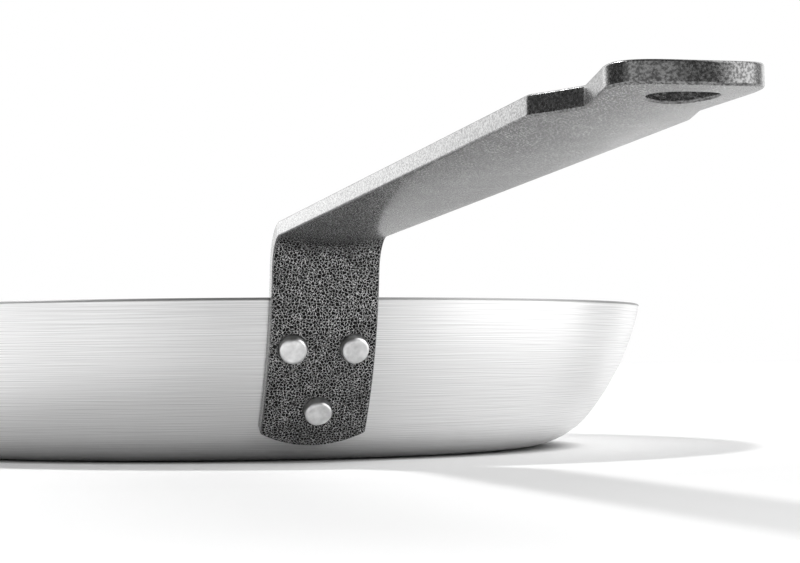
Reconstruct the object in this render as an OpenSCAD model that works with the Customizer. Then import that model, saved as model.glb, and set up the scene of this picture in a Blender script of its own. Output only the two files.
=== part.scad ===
// Omelette pan: a spun dish, a strip handle bent over its rim and three solid rivets.
// The origin is the middle of the base's underside. +X runs along the handle, +Z is up.

/* [Dish] */
// Radius of the dish at its rim
rim_radius = 120; // [100:1:150]
// Height of the rim above the surface that the pan stands on
dish_depth = 41.2; // [36:0.2:50]
// How far the wall reaches outwards from the flat base to the rim
wall_reach = 34.8; // [33:0.2:45]
// Outer radius of the curve that turns the base into the wall
corner_radius = 25.6; // [20:0.2:28]
// Lean of the wall away from upright at the rim, in degrees
rim_lean = 11.6; // [6:0.2:16]
// Thickness of the aluminium sheet
sheet = 3.5; // [2:0.1:5]
// Rounding of the two edges of the rim
rim_round = 0.6; // [0.2:0.1:0.9]

/* [Handle strip] */
// Width of the strip
strip_width = 26.9; // [24:0.1:34]
// Thickness of the strip
strip_thickness = 3.5; // [2:0.1:5]
// Space between the strip and the dish, which the coat fills
seat_gap = 0.05; // [0.02:0.01:0.3]
// Height of the strip's lower tip above the surface that the pan stands on
tip_height = 4.2; // [3:0.1:8]
// Radius of the strip's rounded lower end, seen from the front
tip_radius = 30; // [18:0.5:60]
// Height of the bend's sharp corner above the rim, were it not rounded
bend_rise = 12.6; // [9:0.1:20]
// Inner radius of the bend
bend_radius = 8; // [4:0.5:12]
// Climb of the arm above level, in degrees
arm_climb = 2.26; // [0:0.02:12]
// Radius of the arm's crowned underside, across the strip
crown_radius = 60; // [40:0.5:120]

/* [Handle end] */
// Level distance from the rim to the middle of the hang hole
hang_distance = 234; // [150:1:300]
// Diameter of the hang hole
hang_hole = 10.5; // [6:0.1:14]
// Radius of the rounded head around the hang hole
head_radius = 11.6; // [10:0.1:13]
// Half the width of the neck between the shoulders and the head
neck_half = 9.3; // [7:0.1:9.8]
// Distance from the neck to the middle of the hang hole
neck_distance = 15.5; // [12:0.5:22]
// Length of the two shoulders that narrow the strip to the neck
shoulder_length = 14.5; // [8:0.5:30]

/* [Rivets] */
// Diameter of a rivet's shank
rivet_diameter = 6.8; // [4:0.1:7.5]
// Space between a shank and its hole, all round
rivet_gap = 0.05; // [0.02:0.01:0.2]
// How far a rivet's set end stands out of the strip
rivet_proud = 2.4; // [1:0.1:4]
// Rounding of the set end's edge
rivet_round = 0.9; // [0.3:0.1:1]
// Distance between the middles of the two upper rivets
rivet_spacing = 15.4; // [14:0.1:17]
// Depth of the two upper rivets below the rim, on the strip's face
upper_rivet_drop = 12.6; // [9:0.1:15]
// Height of the lower rivet above the strip's lower tip
lower_rivet_rise = 9.2; // [7:0.1:11]
// Diameter of a rivet's factory head, inside the dish
rivet_head = 12.4; // [9:0.1:13]
// Height of the factory head
rivet_head_height = 2.8; // [2:0.1:4]
// Height of the factory head's straight edge, below its dome
rivet_head_edge = 0.9; // [0.5:0.1:1.5]

/* [Hidden] */
$fn = 180;

// How far a cutting shape runs past what it cuts
past = 1;
// Rows of the handle's surface on the wall, above the rim and round the bend
wall_rows = 14;
flare_rows = 5;
bend_rows = 12;
// Facets across the strip
columns = 16;

// Middle of the corner's arc and of the wall's arc, which meet smoothly, as [out, up]
corner_mid = [rim_radius - wall_reach, corner_radius];
corner_to_rim = [wall_reach, dish_depth - corner_radius];
wall_radius = (corner_to_rim * corner_to_rim - corner_radius ^ 2)
    / (2 * (corner_to_rim * outward(rim_lean) - corner_radius));
wall_mid = [rim_radius, dish_depth] - wall_radius * outward(rim_lean);
meet_lean = atan2(wall_mid.y - corner_mid.y, corner_mid.x - wall_mid.x);

// Distance of the strip's face outwards from the dish
strip_front = seat_gap + strip_thickness;
strip_half = strip_width / 2;

// Course of the strip's front above the rim, in the plane through the handle's middle
flare_start = wall_point(rim_lean, strip_front);
flare_to_corner = (dish_depth + bend_rise - flare_start.y) / cos(rim_lean);
bend_turn = 90 - rim_lean - arm_climb;
flare_length = flare_to_corner - bend_radius * tan(bend_turn / 2);
bend_start = flare_start + flare_length * upward(rim_lean);
bend_mid = bend_start + bend_radius * outward(rim_lean);
arm_start = bend_mid - bend_radius * outward(90 - arm_climb);
hang_x = rim_radius + hang_distance;
hang_z = arm_start.y + (hang_x - arm_start.x) * tan(arm_climb);
arm_length = (hang_x - arm_start.x) / cos(arm_climb) + head_radius + past;

// Height of each rivet's axis where it leaves the strip's face
upper_rivet_height = dish_depth - upper_rivet_drop;
lower_rivet_height = tip_height + lower_rivet_rise;

// Unit vectors square to a surface and up along it, where it leans by this angle
function outward(lean) = [cos(lean), -sin(lean)];
function upward(lean) = [sin(lean), cos(lean)];

// Point where the wall leans by this angle, off outside the dish, as [out, up]
function wall_point(lean, off) =
    lean > meet_lean
        ? corner_mid + (corner_radius + off) * outward(lean)
        : wall_mid + (wall_radius + off) * outward(lean);

// Lean at this height of the surface that lies off outside the dish
function wall_lean(height, off) =
    height < wall_point(meet_lean, off).y
        ? asin((corner_mid.y - height) / (corner_radius + off))
        : asin((wall_mid.y - height) / (wall_radius + off));

// How far a circle of this radius falls back at a distance aside from its top
function sag(radius, aside) = radius - sqrt(radius ^ 2 - aside ^ 2);

function ease(t) = t * t * (3 - 2 * t);

// One row of the strip: [point of its front as [out, up], lean, share of the arm's crown]
function strip_row(row, aside) =
    let(
        tip_lean = wall_lean(tip_height + sag(tip_radius, aside), strip_front),
        wall_share = row / wall_rows,
        above = row - wall_rows,
        crown = ease(min(1, max(0, above / (flare_rows + bend_rows)))),
        round = above - flare_rows
    )
    above <= 0 ? let(lean = tip_lean + (rim_lean - tip_lean) * wall_share)
        [wall_point(lean, strip_front), lean, 0]
    : round <= 0 ? [flare_start + flare_length * above / flare_rows * upward(rim_lean), rim_lean, crown]
    : round <= bend_rows ? let(lean = rim_lean + bend_turn * round / bend_rows)
        [bend_mid - bend_radius * outward(lean), lean, crown]
    : [arm_start + arm_length * upward(90 - arm_climb), 90 - arm_climb, 1];

// Point of the strip: it wraps round the dish as a turned surface, and the arm is crowned
function strip_point(row, aside, depth) =
    let(
        place = strip_row(row, aside),
        flat = place[0] - depth * outward(place[1]),
        wrap = (1 - place[2]) * sag(flat.x, aside) * [-1, 0],
        crown = place[2] * sag(crown_radius - depth, aside) * -outward(place[1]),
        bent = flat + wrap + crown
    )
    [bent.x, aside, bent.y];

// Two triangles that fill the four-sided face a, b, c, d
function quad(a, b, c, d) = [[a, c, b], [a, d, c]];

// The strip at full width, from its rounded tip to past the hang hole
module strip() {
    rows = wall_rows + flare_rows + bend_rows + 1;
    ring = 2 * (columns + 1);
    asides = [for (column = [0:columns]) strip_width * (column / columns - 0.5)];
    points = [
        for (row = [0:rows]) each [
            for (aside = asides) strip_point(row, aside, 0),
            for (column = [columns:-1:0]) strip_point(row, asides[column], strip_thickness)
        ]
    ];
    skin = [
        for (row = [0:rows - 1], edge = [0:ring - 1])
            let(a = row * ring + edge, b = row * ring + (edge + 1) % ring)
            each quad(a, b, b + ring, a + ring)
    ];
    tip_cap = [for (column = [0:columns - 1]) each
        quad(column + 1, column, ring - 1 - column, ring - 2 - column)];
    end_cap = [for (face = tip_cap) [for (corner = [2:-1:0]) face[corner] + rows * ring]];
    polyhedron(points, concat(skin, tip_cap, end_cap));
}

// Moves its children to the hang hole, with +Z square to the arm
module at_hang_hole() {
    translate([hang_x, 0, hang_z]) rotate([0, -arm_climb, 0]) children();
}

// Outline of the shoulders, the neck and the round head, with the hang hole's middle at the origin
module end_outline() {
    neck_reach = norm([neck_distance, neck_half]);
    touch = atan2(neck_half, neck_distance) + acos(head_radius / neck_reach);
    slope = (strip_half - neck_half) / shoulder_length;
    side = [
        [-neck_distance - shoulder_length - past, strip_half + past * slope],
        [-neck_distance, neck_half],
        head_radius * [-cos(touch), sin(touch)]
    ];
    polygon(concat(side, [[0, 0]], [for (i = [2:-1:0]) [side[i].x, -side[i].y]]));
    circle(head_radius);
}

// What is punched away around the shoulders, the neck and the head
module end_scrap() {
    start = -neck_distance - shoulder_length;
    at_hang_hole() linear_extrude(height = 4 * strip_thickness + strip_half, center = true)
    difference() {
        translate([start, -strip_width]) square([2 * head_radius - start, 2 * strip_width]);
        end_outline();
    }
}

// Moves its children to a rivet's axis on the strip's face, with +Z square to the wall and out
module at_rivet(height, aside) {
    lean = wall_lean(height, strip_front);
    place = wall_point(lean, strip_front);
    rotate([0, 0, asin(aside / place.x)])
    translate([place.x, 0, place.y])
    rotate([0, 90 + lean, 0])
    children();
}

module rivet_hole(height, aside) {
    depth = 2 * (strip_front + sheet + past);
    at_rivet(height, aside) cylinder(d = rivet_diameter + 2 * rivet_gap, h = depth, center = true);
}

module rivet_holes() {
    for (side = [-1, 1]) rivet_hole(upper_rivet_height, side * rivet_spacing / 2);
    rivet_hole(lower_rivet_height, 0);
}

// A stretch of the sheet's section, bent round mid and leaning from one angle to the other
module bent_stretch(mid, radius, from, to) {
    reach = 2 * radius;
    intersection() {
        translate(mid) difference() {
            circle(radius);
            circle(radius - sheet);
        }
        polygon([mid, mid + reach * outward(from), mid + reach * outward(to)]);
    }
}

// What comes off one edge of the rim, between its top and the wall's outer or inner arc
module rim_scrap(radius, side) {
    level = dish_depth - rim_round;
    out = wall_mid.x + sqrt(radius ^ 2 - (wall_mid.y - level) ^ 2);
    wall_side = side * outward(asin((wall_mid.y - level) / radius));
    far = 3 * rim_round;
    difference() {
        translate([out, level])
        polygon([[0, 0], far * wall_side, [side * far, far], [0, far]]);
        translate([out, level]) circle(rim_round);
    }
}

// The bare sheet, before it is drilled
module spun_sheet() {
    rotate_extrude() difference() {
        intersection() {
            union() {
                square([corner_mid.x, sheet]);
                bent_stretch(corner_mid, corner_radius, 90, meet_lean);
                bent_stretch(wall_mid, wall_radius, meet_lean, 0);
            }
            square([2 * rim_radius, dish_depth]);
        }
        rim_scrap(wall_radius - rim_round, 1);
        rim_scrap(wall_radius - sheet + rim_round, -1);
    }
}

module dish() {
    color("gainsboro") difference() {
        spun_sheet();
        rivet_holes();
    }
}

module handle() {
    color("dimgray") difference() {
        strip();
        end_scrap();
        at_hang_hole() cylinder(d = hang_hole, h = 4 * strip_thickness, center = true);
        rivet_holes();
    }
}

// Section of a rivet's shank and of its set end, outwards from the strip's face
module shank_section() {
    shank = rivet_diameter / 2;
    depth = strip_front + sheet + rivet_head_edge;
    translate([0, -depth]) square([shank, depth + rivet_proud - rivet_round]);
    square([shank - rivet_round, rivet_proud]);
    translate([shank - rivet_round, rivet_proud - rivet_round]) circle(rivet_round);
}

// Section of the factory head: a low dome on a straight edge that runs on into the sheet
module head_section() {
    base = -strip_front - sheet;
    dome_height = rivet_head_height - rivet_head_edge;
    dome_radius = (rivet_head ^ 2 / 4 + dome_height ^ 2) / (2 * dome_height);
    translate([0, base - rivet_head_edge]) {
        square([rivet_head / 2, rivet_head_edge + sheet / 2]);
        intersection() {
            translate([0, dome_radius - dome_height]) circle(dome_radius);
            translate([0, -2 * dome_height]) square([rivet_head / 2, 2 * dome_height]);
        }
    }
}

// Rivet whose factory head beds on the inside of the sheet and whose other end is set
module rivet(height, aside) {
    at_rivet(height, aside) rotate_extrude() shank_section();
    difference() {
        at_rivet(height, aside) rotate_extrude() head_section();
        spun_sheet();
    }
}

module rivet_left() {
    color("silver") rivet(upper_rivet_height, -rivet_spacing / 2);
}

module rivet_right() {
    color("silver") rivet(upper_rivet_height, rivet_spacing / 2);
}

module rivet_lower() {
    color("silver") rivet(lower_rivet_height, 0);
}

dish();
handle();
rivet_left();
rivet_right();
rivet_lower();
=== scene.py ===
import math

import bpy
import numpy as np
from mathutils import Matrix, Vector
from mathutils.geometry import delaunay_2d_cdt


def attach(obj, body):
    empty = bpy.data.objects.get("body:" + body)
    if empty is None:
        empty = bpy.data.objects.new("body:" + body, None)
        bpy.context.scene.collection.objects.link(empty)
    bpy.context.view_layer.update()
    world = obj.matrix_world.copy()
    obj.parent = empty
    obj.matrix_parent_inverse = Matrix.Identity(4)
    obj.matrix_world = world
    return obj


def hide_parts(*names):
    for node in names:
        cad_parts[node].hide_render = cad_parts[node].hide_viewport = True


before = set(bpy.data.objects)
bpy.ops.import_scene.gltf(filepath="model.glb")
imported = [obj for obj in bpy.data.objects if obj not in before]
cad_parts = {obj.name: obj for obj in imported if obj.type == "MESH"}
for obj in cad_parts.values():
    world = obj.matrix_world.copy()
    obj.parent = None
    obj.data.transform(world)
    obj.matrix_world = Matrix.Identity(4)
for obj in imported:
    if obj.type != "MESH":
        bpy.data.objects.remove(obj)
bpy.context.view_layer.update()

# The camera stands low in front of the handle and a little to its left, below the level of the rim,
# and looks past the head at the dish.
camera_place = Vector((0.6459, -0.1188, 0.02605))
camera_turn = math.radians(14.739)
camera_tilt = math.radians(2.0)
camera_roll = math.radians(-0.548)
camera_lens = 98.84

look = Vector((-math.cos(camera_tilt) * math.cos(camera_turn), math.cos(camera_tilt) * math.sin(camera_turn),
               math.sin(camera_tilt)))
level_right = Vector((math.sin(camera_turn), math.cos(camera_turn), 0))
level_up = level_right.cross(look)
camera_right = math.cos(camera_roll) * level_right + math.sin(camera_roll) * level_up
camera_up = camera_right.cross(look)
camera_data = bpy.data.cameras.new("camera")
camera_data.lens = camera_lens
camera_data.sensor_width = 36
camera_data.clip_start = 0.01
camera = bpy.data.objects.new("camera", camera_data)
turned = Matrix((camera_right, camera_up, -look)).transposed().to_4x4()
camera.matrix_world = Matrix.Translation(camera_place) @ turned
bpy.context.scene.collection.objects.link(camera)
bpy.context.scene.camera = camera


# The dish is one round of aluminium sheet, spun to a flat base and a sloping wall, then brushed on a
# lathe inside and out, which leaves fine lines that run round it.
def add_node(tree, kind, inputs=None, **settings):
    """A shader node with these settings, whose inputs are linked to sockets or set to values."""
    node = tree.nodes.new(kind)
    for name, value in settings.items():
        setattr(node, name, value)
    for name, value in (inputs or {}).items():
        if isinstance(value, bpy.types.NodeSocket):
            tree.links.new(value, node.inputs[name])
        else:
            node.inputs[name].default_value = value
    return node


def calculate(tree, operation, *values):
    """The result of a Math node on two or three sockets or numbers."""
    return add_node(tree, "ShaderNodeMath", dict(enumerate(values)), operation=operation).outputs[0]


def remap(tree, value, low, high, to_low, to_high):
    """Takes value's range low..high to to_low..to_high, and no further."""
    node = add_node(tree, "ShaderNodeMapRange", {"Value": value, "From Min": low, "From Max": high,
                                                 "To Min": to_low, "To Max": to_high})
    return node.outputs["Result"]


def blend_colours(tree, share, first, second):
    node = add_node(tree, "ShaderNodeMix", data_type="RGBA")
    for name, value in (("Factor_Float", share), ("A_Color", first), ("B_Color", second)):
        socket = next(s for s in node.inputs if s.identifier == name)
        if isinstance(value, bpy.types.NodeSocket):
            tree.links.new(value, socket)
        else:
            socket.default_value = value
    return next(s for s in node.outputs if s.identifier == "Result_Color")


def grey(value):
    return (value, value, value, 1)


def new_group(name, inputs, outputs):
    """A shader node group with float inputs, given as name: default, and float outputs."""
    tree = bpy.data.node_groups.new(name, "ShaderNodeTree")
    for socket, default in inputs.items():
        made = tree.interface.new_socket(socket, in_out="INPUT", socket_type="NodeSocketFloat")
        made.default_value = default
    for socket in outputs:
        tree.interface.new_socket(socket, in_out="OUTPUT", socket_type="NodeSocketFloat")
    return tree, tree.nodes.new("NodeGroupInput").outputs, tree.nodes.new("NodeGroupOutput").inputs


def new_material(name):
    material = bpy.data.materials.new(name)
    material.use_nodes = True
    tree = material.node_tree
    return material, tree, tree.nodes["Principled BSDF"]


# Lines that an abrasive leaves round the dish's axis, long along the turn and thin across it. The noise is
# taken off itself half a pitch further on, which keeps lines of that pitch and drops broader bands.
mean_radius = 0.11
half_pitch = 0.5
turned_lines, given, result = new_group("turned lines", {"Length": 0.05, "Pitch": 0.0004, "Detail": 2},
                                        ["Lines"])
here = add_node(turned_lines, "ShaderNodeTexCoord").outputs["Object"]
part = add_node(turned_lines, "ShaderNodeSeparateXYZ", {0: here}).outputs
out_from_axis = calculate(turned_lines, "SQRT", calculate(
    turned_lines, "MULTIPLY_ADD", part["X"], part["X"], calculate(turned_lines, "POWER", part["Y"], 2.0)))
lines_round = calculate(turned_lines, "DIVIDE", mean_radius, given["Length"])
across_turn = calculate(turned_lines, "DIVIDE", calculate(turned_lines, "ADD", part["Z"], out_from_axis),
                        given["Pitch"])
along_turn = [calculate(turned_lines, "MULTIPLY",
                        calculate(turned_lines, "DIVIDE", part[side], out_from_axis), lines_round)
              for side in ("X", "Y")]
step_across = calculate(turned_lines, "ADD", across_turn, half_pitch)
line_noise = []
for place_across in (across_turn, step_across):
    line_place = add_node(turned_lines, "ShaderNodeCombineXYZ",
                          {"X": along_turn[0], "Y": along_turn[1], "Z": place_across}).outputs[0]
    noise = add_node(turned_lines, "ShaderNodeTexNoise",
                     {"Vector": line_place, "Scale": 1.0, "Detail": given["Detail"]})
    line_noise.append(noise.outputs["Fac"])
difference = calculate(turned_lines, "SUBTRACT", *line_noise)
turned_lines.links.new(calculate(turned_lines, "ADD", difference, 0.5), result["Lines"])

dish_metal, tree, surface = new_material("brushed aluminium")


def lines(tree, length, pitch, detail):
    node = add_node(tree, "ShaderNodeGroup", node_tree=turned_lines)
    node.inputs["Length"].default_value = length
    node.inputs["Pitch"].default_value = pitch
    node.inputs["Detail"].default_value = detail
    return node.outputs["Lines"]


bands_share = 0.07
line_tones = (grey(0.72), grey(0.98))
scratch_tone = grey(0.97)
inside_tone = grey(0.62)
# Tone of the painted dark reflection along the rim's top edge
rim_painted_shade_tone = grey(0.48)
cut_edge_start = 0.0404
cut_edge_full = 0.0407
turned_roughness = (0.37, 0.39)
duller_roughness = 0.3
line_depth = 0.00005
scratch_start = 0.9
scratch_full = 0.96
fine_lines = lines(tree, length=0.022, pitch=0.00042, detail=0)
line_bands = lines(tree, length=0.12, pitch=0.0008, detail=2)
broad_bands = lines(tree, length=0.4, pitch=0.004, detail=2)
scratches = lines(tree, length=0.06, pitch=0.0007, detail=0)
scratches = remap(tree, scratches, scratch_start, scratch_full, 0, 1)
line_mix = calculate(tree, "MULTIPLY_ADD", fine_lines, 1 - bands_share,
                     calculate(tree, "MULTIPLY", line_bands, bands_share))
metal_tone = blend_colours(tree, remap(tree, line_mix, 0.2, 0.8, 0, 1), *line_tones)
metal_tone = blend_colours(tree, scratches, metal_tone, scratch_tone)
# The inside is brushed duller than the outside: there the face looks in towards the axis, or up
facing = add_node(tree, "ShaderNodeTexCoord").outputs
outer = add_node(tree, "ShaderNodeVectorMath", {0: facing["Object"], 1: (1, 1, 0), 2: (0, 0, -0.05)},
                 operation="MULTIPLY_ADD").outputs[0]
outer = add_node(tree, "ShaderNodeVectorMath", {0: facing["Normal"], 1: outer}, operation="DOT_PRODUCT")
duller = remap(tree, outer.outputs["Value"], -0.001, 0.001, 1, 0)
metal_tone = blend_colours(tree, duller, metal_tone, inside_tone)
# The rim's cut edge is left duller, and its colour is painted darker there: a painted dark reflection that
# draws the dark line along the rim
height = add_node(tree, "ShaderNodeSeparateXYZ", {0: facing["Object"]}).outputs["Z"]
rim_painted_shade = remap(tree, height, cut_edge_start, cut_edge_full, 0, 1)
metal_tone = blend_colours(tree, rim_painted_shade, metal_tone, rim_painted_shade_tone)
outer_roughness = remap(tree, broad_bands, 0.35, 0.65, *turned_roughness)
dull_places = calculate(tree, "MAXIMUM", duller, rim_painted_shade)
roughness = calculate(tree, "MULTIPLY_ADD", dull_places, duller_roughness, outer_roughness)
tree.links.new(roughness, surface.inputs["Roughness"])
tree.links.new(metal_tone, surface.inputs["Base Color"])
line_bump = add_node(tree, "ShaderNodeBump", {"Height": line_mix, "Strength": 0.1, "Distance": line_depth})
tree.links.new(line_bump.outputs[0], surface.inputs["Normal"])
turn_direction = add_node(tree, "ShaderNodeTangent", direction_type="RADIAL", axis="Z").outputs[0]
tree.links.new(turn_direction, surface.inputs["Tangent"])
surface.inputs["Metallic"].default_value = 1
surface.inputs["Anisotropic"].default_value = 0.9
surface.inputs["Anisotropic Rotation"].default_value = 0.25


def finish_node(name, material):
    """Gives a CAD node its material and smooth shading."""
    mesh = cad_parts[name].data
    mesh.materials.clear()
    mesh.materials.append(material)
    mesh.shade_smooth()


finish_node("dish", dish_metal)

# The handle is one steel strip, blanked flat with its round tip, its head and its holes, and tumbled so
# that its edges are softly rounded. It is then pressed hollow along the arm, bent to the wall and over
# the rim, and powder coated in a hammer finish.
rim_radius = 0.12
dish_depth = 0.0412
corner_radius = 0.0256
wall_reach = 0.0348
rim_lean = math.radians(11.6)
strip_half = 0.01345
strip_thickness = 0.0035
strip_front = 0.00005 + strip_thickness
tip_height = 0.0042
tip_radius = 0.03
tip_corner = 0.0006
bend_rise = 0.0126
bend_radius = 0.008
arm_climb = math.radians(2.26)
crown_radius = 0.06
hang_distance = 0.234
hang_hole_radius = 0.00525
head_radius = 0.0116
neck_half = 0.0093
neck_distance = 0.0155
neck_fillet = 0.003
shoulder_length = 0.0145
shoulder_round = 0.004
rivet_hole_radius = 0.00345
rivet_spacing = 0.0154
upper_rivet_height = 0.0286
lower_rivet_height = 0.0134
edge_round = 0.00045
edge_steps = 4
outline_step = 0.0005
wall_step = 0.0009
bend_step = 0.0004
arm_step = 0.0022
bend_margin = 0.001
edge_margin = 0.7 * outline_step
tip_count = 28
fillet_count = 9
head_count = 60
hole_count = 200
column_count = 29


def outward(lean):
    """Unit vector [out, up] square to a surface that leans by this angle from upright."""
    return np.array([math.cos(lean), -math.sin(lean)])


def upward(lean):
    return np.array([math.sin(lean), math.cos(lean)])


corner_mid = np.array([rim_radius - wall_reach, corner_radius])
corner_to_rim = np.array([rim_radius, dish_depth]) - corner_mid
wall_radius = (corner_to_rim @ corner_to_rim - corner_radius ** 2) / (
    2 * (corner_to_rim @ outward(rim_lean) - corner_radius))
wall_mid = np.array([rim_radius, dish_depth]) - wall_radius * outward(rim_lean)
meet_lean = math.atan2(wall_mid[1] - corner_mid[1], corner_mid[0] - wall_mid[0])

# Lengths along the strip's face, counted from the rim: down the wall they are below zero
wall_run = (wall_radius + strip_front) * (meet_lean - rim_lean)
flare_start = wall_mid + (wall_radius + strip_front) * outward(rim_lean)
bend_turn = math.pi / 2 - rim_lean - arm_climb
flare_length = (dish_depth + bend_rise - flare_start[1]) / math.cos(rim_lean)
flare_length -= bend_radius * math.tan(bend_turn / 2)
bend_mid = flare_start + flare_length * upward(rim_lean) + bend_radius * outward(rim_lean)
bend_end = flare_length + bend_radius * bend_turn
arm_start = bend_mid - bend_radius * outward(math.pi / 2 - arm_climb)
hang_run = bend_end + (rim_radius + hang_distance - arm_start[0]) / math.cos(arm_climb)


def run_at_height(height):
    """Length along the strip's face, from the rim, of the point of the wall at this height."""
    if height < corner_mid[1] - (corner_radius + strip_front) * math.sin(meet_lean):
        lean = math.asin((corner_mid[1] - height) / (corner_radius + strip_front))
        return -wall_run - (corner_radius + strip_front) * (lean - meet_lean)
    face_radius = wall_radius + strip_front
    return -face_radius * (math.asin((wall_mid[1] - height) / face_radius) - rim_lean)


def sag(radius, aside):
    return radius - np.sqrt(radius ** 2 - aside ** 2)


def bent_strip(blank):
    """Where points of the flat blank, as rows of [run, aside, depth], come to lie on the bent handle."""
    run, aside, depth = blank.T
    lean = rim_lean - np.minimum(run, 0) / (wall_radius + strip_front)
    on_corner = run < -wall_run
    lean = np.where(on_corner, meet_lean - (run + wall_run) / (corner_radius + strip_front), lean)
    round_bend = np.clip(run - flare_length, 0, bend_end - flare_length)
    lean = lean + round_bend / bend_radius
    away = np.array([np.cos(lean), -np.sin(lean)]).T
    along = np.array([np.sin(lean), np.cos(lean)]).T
    face = np.where(on_corner[:, None], corner_mid + (corner_radius + strip_front) * away,
                    wall_mid + (wall_radius + strip_front) * away)
    face = np.where(run[:, None] > 0, flare_start + run[:, None] * along, face)
    face = np.where(run[:, None] > flare_length, bend_mid - bend_radius * away, face)
    face = face + np.maximum(run - bend_end, 0)[:, None] * along
    share = np.clip(run / bend_end, 0, 1)
    share = (share * share * (3 - 2 * share))[:, None]
    flat = face - depth[:, None] * away
    wrap = (1 - share) * sag(flat[:, 0], aside)[:, None] * np.array([-1, 0])
    crown = share * sag(crown_radius - depth, aside)[:, None] * -away
    bent = flat + wrap + crown
    return np.array([bent[:, 0], aside, bent[:, 1]]).T


def fillet(before, corner, after, radius):
    """Points of the arc that rounds a corner between two straight edges."""
    before, corner, after = (np.array(p, float) for p in (before, corner, after))
    back = (before - corner) / np.linalg.norm(before - corner)
    on = (after - corner) / np.linalg.norm(after - corner)
    half = math.acos(np.clip(back @ on, -1, 1)) / 2
    middle = corner + radius / math.sin(half) * (back + on) / np.linalg.norm(back + on)
    start = corner + radius / math.tan(half) * back - middle
    end = corner + radius / math.tan(half) * on - middle
    spread = [start + (end - start) * t for t in np.linspace(0, 1, fillet_count)]
    return [middle + radius * v / np.linalg.norm(v) for v in spread]


def circle_points(middle, radius, start, end, count):
    angles = np.linspace(start, end, count)
    return [np.array(middle) + radius * np.array([math.cos(a), math.sin(a)]) for a in angles]


def even_loop(points, step):
    """The closed line through points, with new points at an even step."""
    points = np.array(points)
    closed = np.vstack([points, points[:1]])
    lengths = np.concatenate([[0], np.cumsum(np.linalg.norm(np.diff(closed, axis=0), axis=1))])
    places = np.linspace(0, lengths[-1], round(lengths[-1] / step), endpoint=False)
    return np.array([np.interp(places, lengths, closed[:, k]) for k in (0, 1)]).T


# Half of the blank's outline, from the middle of its tip to the end of its head
neck_run = hang_run - neck_distance
shoulder_run = neck_run - shoulder_length
touch = math.atan2(neck_half, neck_distance) + math.acos(head_radius / math.hypot(neck_distance, neck_half))
tip_asides = np.linspace(0, strip_half, tip_count)
tip = [np.array([run_at_height(tip_height + sag(tip_radius, v)), v]) for v in tip_asides]
shoulder = (shoulder_run, strip_half)
neck = (neck_run, neck_half)
head_touch = (hang_run - head_radius * math.cos(touch), head_radius * math.sin(touch))
half_outline = (
    tip[:-2]
    + fillet(tip[-3], tip[-1], shoulder, tip_corner)
    + fillet(tip[-1], shoulder, neck, shoulder_round)
    + fillet(shoulder, neck, head_touch, neck_fillet)
    + circle_points((hang_run, 0), head_radius, math.pi - touch, 0, head_count)
)
outline = even_loop(half_outline + [p * [1, -1] for p in half_outline[-2:0:-1]], outline_step)
upper_run = run_at_height(upper_rivet_height)
lower_run = run_at_height(lower_rivet_height)
full_turn = 2 * math.pi
holes = [even_loop(circle_points(middle, radius, 0, -full_turn, hole_count)[:-1], outline_step)
         for middle, radius in (((hang_run, 0), hang_hole_radius), ((lower_run, 0), rivet_hole_radius),
                                ((upper_run, rivet_spacing / 2), rivet_hole_radius),
                                ((upper_run, -rivet_spacing / 2), rivet_hole_radius))]
loops = [outline[::-1]] + holes


def away_from_metal(loop):
    """Unit vectors in the blank's plane that point out of the metal at each point of a loop."""
    along = np.roll(loop, -1, axis=0) - np.roll(loop, 1, axis=0)
    along /= np.linalg.norm(along, axis=1)[:, None]
    return np.array([along[:, 1], -along[:, 0]]).T


# The edge's rings, from the front face round to the back: how far in, how deep, and their normals' parts
quarter = np.linspace(0, math.pi / 2, edge_steps + 1)
rings = [(edge_round * (1 - math.sin(t)), edge_round * (1 - math.cos(t)), math.sin(t), -math.cos(t))
         for t in quarter]
rings += [(inset, strip_thickness - depth, side, -face) for inset, depth, side, face in reversed(rings)]

# How far each ring lies from the front face, measured over the surface, as the coat's pattern runs on there
edge_reach = [edge_round * t for t in quarter]
edge_reach += [edge_reach[-1] + strip_thickness - 2 * edge_round + reach for reach in edge_reach]

blank_points = []
blank_normals = []
coat_places = []
faces = []
front_loops = []
back_loops = []
for loop in loops:
    away = away_from_metal(loop)
    start = sum(len(p) for p in blank_points)
    count = len(loop)
    for (inset, depth, side, face), reach in zip(rings, edge_reach):
        flat = loop - inset * away
        coat_places.append(np.column_stack([loop + (reach - edge_round) * away, np.full(count, reach)]))
        blank_points.append(np.column_stack([flat, np.full(count, depth)]))
        blank_normals.append(np.column_stack([side * away, np.full(count, face)]))
    for ring in range(len(rings) - 1):
        a = start + ring * count
        for i in range(count):
            j = (i + 1) % count
            faces.append((a + i, a + j, a + count + j, a + count + i))
    front_loops.append(np.arange(start, start + count))
    back_loops.append(np.arange(start, start + count) + (len(rings) - 1) * count)

# Points inside the faces, closer together where the strip bends
bend_rows = np.arange(flare_length - bend_margin, bend_end + bend_margin, bend_step)
wall_rows = np.arange(tip[0][0], flare_length - bend_margin, wall_step)
arm_rows = np.arange(bend_end + 2 * bend_margin, hang_run + head_radius, arm_step)
columns = np.linspace(-strip_half, strip_half, column_count)
rows = np.concatenate([wall_rows, bend_rows, arm_rows])
inner = np.array([(run, aside) for run in rows for aside in columns])


def inside(points, loop):
    """Whether each point lies inside a closed loop, by counting the edges to one side of it."""
    x, y = points.T
    found = np.zeros(len(points), bool)
    for (ax, ay), (bx, by) in zip(loop, np.roll(loop, -1, axis=0)):
        crosses = (ay > y) != (by > y)
        reach = ax + (y - ay) / (by - ay if by != ay else 1) * (bx - ax)
        found ^= crosses & (x < reach)
    return found


face_edges = [loop - edge_round * away_from_metal(loop) for loop in loops]


def in_metal(points):
    found = inside(points, face_edges[0])
    for hole in face_edges[1:]:
        found &= ~inside(points, hole)
    return found


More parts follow.
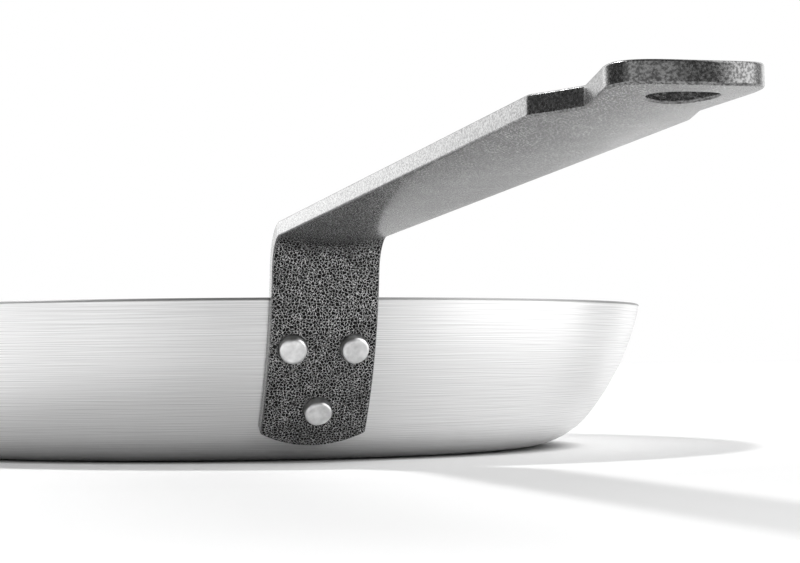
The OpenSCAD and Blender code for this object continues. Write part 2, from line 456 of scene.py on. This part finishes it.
all_edges = np.vstack(face_edges)
inner = inner[in_metal(inner)]
gap = np.array([np.min(np.hypot(*(all_edges - p).T)) for p in inner])
inner = inner[gap > edge_margin]
flat_points = np.vstack(face_edges + [inner])
constraints = []
start = 0
for edge in face_edges:
    constraints += [(start + i, start + (i + 1) % len(edge)) for i in range(len(edge))]
    start += len(edge)
cut = delaunay_2d_cdt([Vector(p * 1000) for p in flat_points], constraints, [], 0, 1e-7)
cut_points = np.array([v[:] for v in cut[0]]) / 1000
origin = [ids[0] for ids in cut[3]]
triangles = np.array(cut[2])
triangles = triangles[in_metal(cut_points[triangles].mean(axis=1))]
inner_start = sum(len(p) for p in blank_points)
inner_count = len(inner)
blank_points += [np.column_stack([inner, np.full(inner_count, depth)]) for depth in (0, strip_thickness)]
blank_normals += [np.tile([0, 0, side], (inner_count, 1)) for side in (-1, 1)]
coat_places += [np.column_stack([inner, np.zeros(inner_count)])] * 2
front_ids = np.concatenate(front_loops + [np.arange(inner_start, inner_start + inner_count)])
back_ids = np.concatenate(back_loops + [np.arange(inner_start, inner_start + inner_count) + inner_count])
for triangle in triangles:
    a, b, c = (origin[i] for i in triangle)
    faces.append((front_ids[c], front_ids[b], front_ids[a]))
back_start = len(faces)
for triangle in triangles:
    a, b, c = (origin[i] for i in triangle)
    faces.append((back_ids[a], back_ids[b], back_ids[c]))

blank = np.vstack(blank_points)
coat_places = np.vstack(coat_places)
sides = np.vstack(blank_normals)
nudge = 1e-6
bent = bent_strip(blank)
along = bent_strip(blank + [nudge, 0, 0]) - bent_strip(blank - [nudge, 0, 0])
across = bent_strip(blank + [0, nudge, 0]) - bent_strip(blank - [0, nudge, 0])
along /= np.linalg.norm(along, axis=1)[:, None]
inwards = np.cross(along, across)
inwards /= np.linalg.norm(inwards, axis=1)[:, None]
across = np.cross(inwards, along)
normals = sides[:, :1] * along + sides[:, 1:2] * across + sides[:, 2:] * inwards
normals /= np.linalg.norm(normals, axis=1)[:, None]


def mesh_piece(name, points, faces, normals, material):
    """A mesh object in the scene with smooth shading by the given normals."""
    mesh = bpy.data.meshes.new(name)
    mesh.from_pydata(points.tolist(), [], [tuple(int(i) for i in face) for face in faces])
    mesh.materials.append(material)
    mesh.shade_smooth()
    mesh.normals_split_custom_set_from_vertices(normals.tolist())
    piece = bpy.data.objects.new(name, mesh)
    bpy.context.scene.collection.objects.link(piece)
    return piece


# The coat sets in dark spots with silver veins between them. Their pattern lies over the flat blank, so
# that it follows the strip round its bends. It fades round the edges, where the coat is thin and grained.
vein_scale = 1280.0
grain_scale = 1800.0
wander_reach = 0.0011
patch_scale = 150.0
spot_tone = grey(0.006)
vein_tones = (grey(0.45), grey(0.75))
plain_tones = (grey(0.1), grey(0.28))
plain_share = 0.92
plain_reach = 0.0004
spot_roughness = 0.2
vein_roughness = 0.3
vein_relief = 0.00006
hammer_coat, tree, surface = new_material("hammer finish coat")
here = add_node(tree, "ShaderNodeAttribute", attribute_name="blank").outputs["Vector"]
grain = add_node(tree, "ShaderNodeTexNoise", {"Vector": here, "Scale": grain_scale, "Detail": 1.0}).outputs
wander = add_node(tree, "ShaderNodeVectorMath", {0: grain["Color"], 1: (0.5, 0.5, 0.5)},
                  operation="SUBTRACT").outputs[0]
wander = add_node(tree, "ShaderNodeVectorMath", {0: wander, "Scale": wander_reach}, operation="SCALE")
moved = add_node(tree, "ShaderNodeVectorMath", {0: here, 1: wander.outputs[0]}, operation="ADD").outputs[0]
cells = add_node(tree, "ShaderNodeTexVoronoi", {"Vector": moved, "Scale": vein_scale, "Randomness": 1.0},
                 voronoi_dimensions="2D", feature="DISTANCE_TO_EDGE")
vein = remap(tree, cells.outputs["Distance"], 0.02, 0.1, 1, 0)
round_edge = add_node(tree, "ShaderNodeSeparateXYZ", {0: here}).outputs["Z"]
plain = remap(tree, round_edge, 0, plain_reach, 0, plain_share)
patches = add_node(tree, "ShaderNodeTexNoise", {"Vector": here, "Scale": patch_scale, "Detail": 2.0}).outputs
silver = blend_colours(tree, remap(tree, patches["Fac"], 0.3, 0.7, 0, 1), *vein_tones)
spotted = blend_colours(tree, vein, spot_tone, silver)
grained = blend_colours(tree, remap(tree, grain["Fac"], 0.4, 0.6, 0, 1), *plain_tones)
tree.links.new(blend_colours(tree, plain, spotted, grained), surface.inputs["Base Color"])
tree.links.new(remap(tree, vein, 0, 1, spot_roughness, vein_roughness), surface.inputs["Roughness"])
ridges = calculate(tree, "MULTIPLY", vein, calculate(tree, "SUBTRACT", 1.0, plain))
coat_bump = add_node(tree, "ShaderNodeBump", {"Height": ridges, "Strength": 0.6, "Distance": vein_relief})
tree.links.new(coat_bump.outputs[0], surface.inputs["Normal"])
surface.inputs["Metallic"].default_value = 0.8
surface.inputs["Specular IOR Level"].default_value = 0.3

strip = mesh_piece("handle_strip", bent, faces, normals, hammer_coat)
# The back face has its own flat pattern, so its corners take their places straight from the blank
corners = np.concatenate([np.array(face) for face in faces])
corner_places = coat_places[corners]
back_corners = sum(len(face) for face in faces[:back_start])
corner_places[back_corners:, :2] = blank[corners[back_corners:], :2]
corner_places[back_corners:, 2] = 0
place_data = strip.data.attributes.new("blank", "FLOAT_VECTOR", "CORNER").data
place_data.foreach_set("vector", corner_places.ravel())
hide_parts("handle")
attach(strip, "root")

# Three solid aluminium rivets go through the wall and the strip. Their domed factory heads lie inside the
# dish, and their plain ends are set over the strip with a press, which leaves them flat and softly edged.
dent_scale = 450.0
dent_depth = 0.0003
dent_tones = (grey(0.6), grey(0.9))
dent_roughness = (0.34, 0.48)
rivet_metal, tree, surface = new_material("rivet aluminium")
here = add_node(tree, "ShaderNodeTexCoord").outputs["Object"]
dents = add_node(tree, "ShaderNodeTexNoise", {"Vector": here, "Scale": dent_scale, "Detail": 3.0})
dents = dents.outputs["Fac"]
tree.links.new(remap(tree, dents, 0.3, 0.7, *dent_roughness), surface.inputs["Roughness"])
pressed = blend_colours(tree, remap(tree, dents, 0.3, 0.7, 0, 1), *dent_tones)
tree.links.new(pressed, surface.inputs["Base Color"])
dent_bump = add_node(tree, "ShaderNodeBump", {"Height": dents, "Strength": 0.4, "Distance": dent_depth})
tree.links.new(dent_bump.outputs[0], surface.inputs["Normal"])
surface.inputs["Metallic"].default_value = 1
for name in ("rivet_left", "rivet_right", "rivet_lower"):
    finish_node(name, rivet_metal)

# The floor is a wide sheet of white paper that the pan stands on. A little glow, seen only by the camera
# and in reflections, makes it white, and it grows further out. Where the pan is close above, the paper's
# colour is painted darker and it doesn't glow, a painted contact shadow that keeps the dark line under the
# dish.
floor_radius = 6.0
floor_level = -0.0001
near_glow = 0.13
far_glow = 0.48
glow_start = 0.2
glow_full = 0.65
contact_reach = 0.011
contact_closed = 0.05
contact_open = 0.5
painted_contact_shade_tone = grey(0.35)
paper_tone = grey(0.85)
floor_mesh = bpy.data.meshes.new("floor")
floor_mesh.from_pydata([(x * floor_radius, y * floor_radius, floor_level)
                        for x, y in ((-1, -1), (1, -1), (1, 1), (-1, 1))], [], [(0, 1, 2, 3)])
floor = bpy.data.objects.new("floor", floor_mesh)
bpy.context.scene.collection.objects.link(floor)
floor_paper, tree, surface = new_material("white paper")
surface.inputs["Roughness"].default_value = 0.9
surface.inputs["Specular IOR Level"].default_value = 0.1
surface.inputs["Emission Color"].default_value = grey(1)
# Painted contact shadow: where the pan is close above, the paper's colour goes to a darker tone and its glow
# fades out
contact = add_node(tree, "ShaderNodeAmbientOcclusion", {"Distance": contact_reach}).outputs["AO"]
openness = remap(tree, contact, contact_closed, contact_open, 0, 1)
tree.links.new(blend_colours(tree, openness, painted_contact_shade_tone, paper_tone), surface.inputs["Base Color"])
rays = add_node(tree, "ShaderNodeLightPath").outputs
in_view = calculate(tree, "MAXIMUM", rays["Is Camera Ray"], calculate(
    tree, "MAXIMUM", rays["Is Glossy Ray"], rays["Is Transmission Ray"]))
here = add_node(tree, "ShaderNodeTexCoord").outputs["Object"]
distance = add_node(tree, "ShaderNodeVectorMath", {0: here}, operation="LENGTH").outputs["Value"]
glow = remap(tree, distance, glow_start, glow_full, near_glow, far_glow)
glow = calculate(tree, "MULTIPLY", openness, glow)
glow = calculate(tree, "MULTIPLY", glow, in_view)
tree.links.new(glow, surface.inputs["Emission Strength"])
floor_mesh.materials.append(floor_paper)

# The light is one small soft lamp, high up and to the left, in a pale room. Its walls are lighter in some
# directions and darker in others, which the metal mirrors, and its ceiling is dark except to the right.
lamp_place = Vector((-0.120, -0.229, 0.499))
lamp_size = 0.07
lamp_power = 2.1
ceiling_left = 0.1
ceiling_right = 1.1
ceiling_start = 0.3
ceiling_full = 0.8
ceiling_turn = 0.6
# Strength of the walls by their bearing in degrees, counted from +X towards +Y
room_walls = {-180: 1.2, -175: 2.5, -168: 2.5, -159: 0.1, -150: 0.05, -116: 0.05, -108: 1.2, -74: 1,
              -62: 0.7, -45: 1, -28: 0.6, -5: 0.2, 30: 0.3, 44: 1, 53: 2.2, 70: 2.6, 84: 2.8, 98: 2.8,
              104: 0.5, 124: 0.5, 130: 1.6, 142: 1.6, 150: 0.8}
lamp_data = bpy.data.lights.new("lamp", "AREA")
lamp_data.shape = "DISK"
lamp_data.size = lamp_size
lamp_data.energy = lamp_power
lamp = bpy.data.objects.new("lamp", lamp_data)
lamp.location = lamp_place
lamp.rotation_euler = lamp_place.to_track_quat("Z", "Y").to_euler()
bpy.context.scene.collection.objects.link(lamp)
world = bpy.data.worlds.new("white room")
world.use_nodes = True
bpy.context.scene.world = world
tree = world.node_tree
rays = add_node(tree, "ShaderNodeLightPath").outputs
direction = add_node(tree, "ShaderNodeTexCoord").outputs["Generated"]
part = add_node(tree, "ShaderNodeSeparateXYZ", {0: direction}).outputs
bearing = calculate(tree, "ARCTAN2", part["Y"], part["X"])
walls = add_node(tree, "ShaderNodeValToRGB", {0: remap(tree, bearing, -math.pi, math.pi, 0, 1)})
tones = walls.color_ramp.elements
while len(tones) < len(room_walls):
    tones.new(0.5)
for tone, (degrees, strength) in zip(tones, room_walls.items()):
    tone.position = degrees / 360 + 0.5
    tone.color = grey(strength)
ceiling = remap(tree, part["Y"], 0, ceiling_turn, ceiling_left, ceiling_right)
rise = remap(tree, part["Z"], ceiling_start, ceiling_full, 1, ceiling)
room = calculate(tree, "MULTIPLY", walls.outputs[0], rise)
background = tree.nodes["Background"].inputs
background["Color"].default_value = grey(1)
tree.links.new(calculate(tree, "MAXIMUM", room, rays["Is Camera Ray"]), background["Strength"])
bpy.context.scene.view_settings.view_transform = "Standard"
